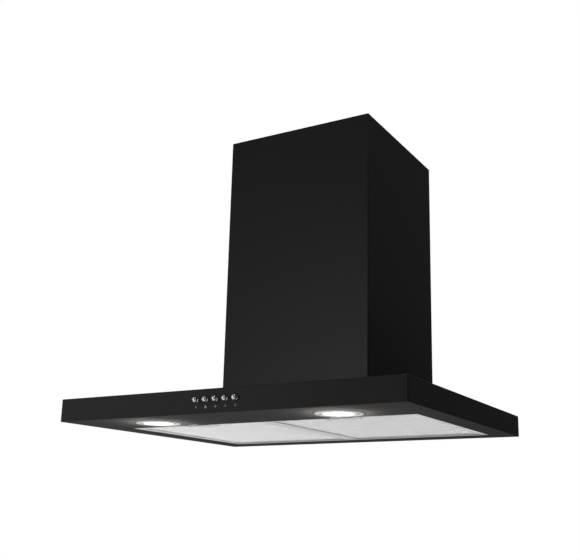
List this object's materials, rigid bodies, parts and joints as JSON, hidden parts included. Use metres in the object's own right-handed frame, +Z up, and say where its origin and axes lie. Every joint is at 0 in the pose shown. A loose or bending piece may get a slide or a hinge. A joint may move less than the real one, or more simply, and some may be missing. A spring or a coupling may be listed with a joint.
{
  "type": "wall-mounted chimney range hood",
  "caption": "Black wall-mounted chimney range hood: flat box canopy with grease filters, lamps and push buttons below a square telescopic duct cover.",
  "frame": {"origin": "on the wall plane, at mid width, level with the underside of the canopy", "axes": "+X to the right seen from the front, +Y into the wall, +Z up"},
  "size_m": [0.6, 0.4967, 0.5334],
  "materials": {
    "black_coat": "matte black powder coat",
    "galvanised_steel": "galvanised sheet",
    "dark_plastic": "moulded black plastic",
    "impeller_plastic": "moulded dark grey plastic",
    "screw_steel": "zinc-plated steel",
    "screw_dark": "black-zinc steel",
    "shaft_steel": "ground steel",
    "motor_steel": "grey enamelled steel",
    "bearing_bronze": "sintered bronze",
    "capacitor_white": "moulded white plastic",
    "terminal_plastic": "off-white nylon",
    "lamp_board_white": "white solder-resist board",
    "icon_print": "pale grey print",
    "lead_sheath": "grey lead sheath",
    "lamp_trim": "satin nickel-coloured trim",
    "lamp_diffuser": "frosted diffuser",
    "filter_aluminium": "bright rolled aluminium",
    "mesh_aluminium": "expanded aluminium mesh",
    "latch_steel": "brushed stainless steel",
    "spring_steel": "spring steel",
    "button_chrome": "polished chrome plating"
  },
  "bodies": {
    "hood": {"canopy_shell": "black_coat", "underside_panel": "black_coat", "lower_chimney": "black_coat", "wall_plate": "galvanised_steel", "blower_box": "galvanised_steel", "canopy_screws": "screw_steel", "volute_left": "dark_plastic", "volute_right": "dark_plastic", "motor_body": "motor_steel", "motor_bearings": "bearing_bronze", "motor_bracket": "galvanised_steel", "motor_screws": "screw_steel", "capacitor": "capacitor_white", "outlet_collar": "dark_plastic", "collar_screws": "screw_steel", "flap_pin": "shaft_steel", "terminal_box": "dark_plastic", "terminal_lid": "dark_plastic", "terminal_block": "terminal_plastic", "cable_gland": "dark_plastic", "lamp_carriers": "dark_plastic", "lamp_boards": "lamp_board_white", "lamp_screws": "screw_dark", "switch_block": "dark_plastic", "switch_bracket": "galvanised_steel", "control_icons": "icon_print", "wiring": "lead_sheath", "lamp_ring_left": "lamp_trim", "lamp_lens_left": "lamp_diffuser", "lamp_cup_left": "galvanised_steel", "latch_catch_left": "spring_steel", "lamp_ring_right": "lamp_trim", "lamp_lens_right": "lamp_diffuser", "lamp_cup_right": "galvanised_steel", "latch_catch_right": "spring_steel", "button_spring_light": "spring_steel", "button_spring_speed_high": "spring_steel", "button_spring_speed_medium": "spring_steel", "button_spring_speed_low": "spring_steel", "button_spring_off": "spring_steel"},
    "upper_chimney": {"upper_chimney": "black_coat", "upper_chimney_bracket": "galvanised_steel", "bracket_screws": "screw_steel"},
    "rotor": {"impeller": "impeller_plastic", "motor_shaft": "shaft_steel"},
    "flap_left": {"damper_flap_left": "dark_plastic"},
    "flap_right": {"damper_flap_right": "dark_plastic"},
    "filter_left": {"filter_frame_left": "filter_aluminium", "filter_mesh_left": "mesh_aluminium", "latch_spring_left": "spring_steel"},
    "latch_left": {"filter_latch_left": "latch_steel"},
    "filter_right": {"filter_frame_right": "filter_aluminium", "filter_mesh_right": "mesh_aluminium", "latch_spring_right": "spring_steel"},
    "latch_right": {"filter_latch_right": "latch_steel"},
    "button_light": {"button_light": "button_chrome"},
    "button_speed_high": {"button_speed_high": "button_chrome"},
    "button_speed_medium": {"button_speed_medium": "button_chrome"},
    "button_speed_low": {"button_speed_low": "button_chrome"},
    "button_off": {"button_off": "button_chrome"}
  },
  "joints": [
    {"name": "upper_chimney_slide", "type": "slide", "parent": "hood", "child": "upper_chimney", "axis": [0, 0, 1], "range_m": [0, 0.32]},
    {"name": "impeller_spin", "type": "hinge", "parent": "hood", "child": "rotor", "pos_m": [0, -0.1475, 0.1335], "axis": [1, 0, 0], "continuous": true},
    {"name": "flap_left_swing", "type": "hinge", "parent": "hood", "child": "flap_left", "pos_m": [0, -0.106, 0.238], "axis": [0, 1, 0], "range_deg": [0, 75]},
    {"name": "flap_right_swing", "type": "hinge", "parent": "hood", "child": "flap_right", "pos_m": [0, -0.106, 0.238], "axis": [0, -1, 0], "range_deg": [0, 75]},
    {"name": "filter_left_tilt", "type": "hinge", "parent": "hood", "child": "filter_left", "pos_m": [-0.1305, -0.0375, 0.0032], "axis": [1, 0, 0], "range_deg": [0, 60], "deforming": ["latch_catch_left"]},
    {"name": "latch_left_slide", "type": "slide", "parent": "filter_left", "child": "latch_left", "axis": [0, 1, 0], "range_m": [0, 0.006], "stiffness_N_per_m": 400, "springref_m": -0.004, "deforming": ["latch_spring_left"]},
    {"name": "filter_right_tilt", "type": "hinge", "parent": "hood", "child": "filter_right", "pos_m": [0.1305, -0.0375, 0.0032], "axis": [1, 0, 0], "range_deg": [0, 60], "deforming": ["latch_catch_right"]},
    {"name": "latch_right_slide", "type": "slide", "parent": "filter_right", "child": "latch_right", "axis": [0, 1, 0], "range_m": [0, 0.006], "stiffness_N_per_m": 400, "springref_m": -0.004, "deforming": ["latch_spring_right"]},
    {"name": "button_light_press", "type": "slide", "parent": "hood", "child": "button_light", "axis": [0, 1, 0], "range_m": [0, 0.0035], "stiffness_N_per_m": 300, "springref_m": -0.003, "deforming": ["button_spring_light"]},
    {"name": "button_speed_high_press", "type": "slide", "parent": "hood", "child": "button_speed_high", "axis": [0, 1, 0], "range_m": [0, 0.0035], "stiffness_N_per_m": 300, "springref_m": -0.003, "deforming": ["button_spring_speed_high"]},
    {"name": "button_speed_medium_press", "type": "slide", "parent": "hood", "child": "button_speed_medium", "axis": [0, 1, 0], "range_m": [0, 0.0035], "stiffness_N_per_m": 300, "springref_m": -0.003, "deforming": ["button_spring_speed_medium"]},
    {"name": "button_speed_low_press", "type": "slide", "parent": "hood", "child": "button_speed_low", "axis": [0, 1, 0], "range_m": [0, 0.0035], "stiffness_N_per_m": 300, "springref_m": -0.003, "deforming": ["button_spring_speed_low"]},
    {"name": "button_off_press", "type": "slide", "parent": "hood", "child": "button_off", "axis": [0, 1, 0], "range_m": [0, 0.0035], "stiffness_N_per_m": 300, "springref_m": -0.003, "deforming": ["button_spring_off"]}
  ]
}
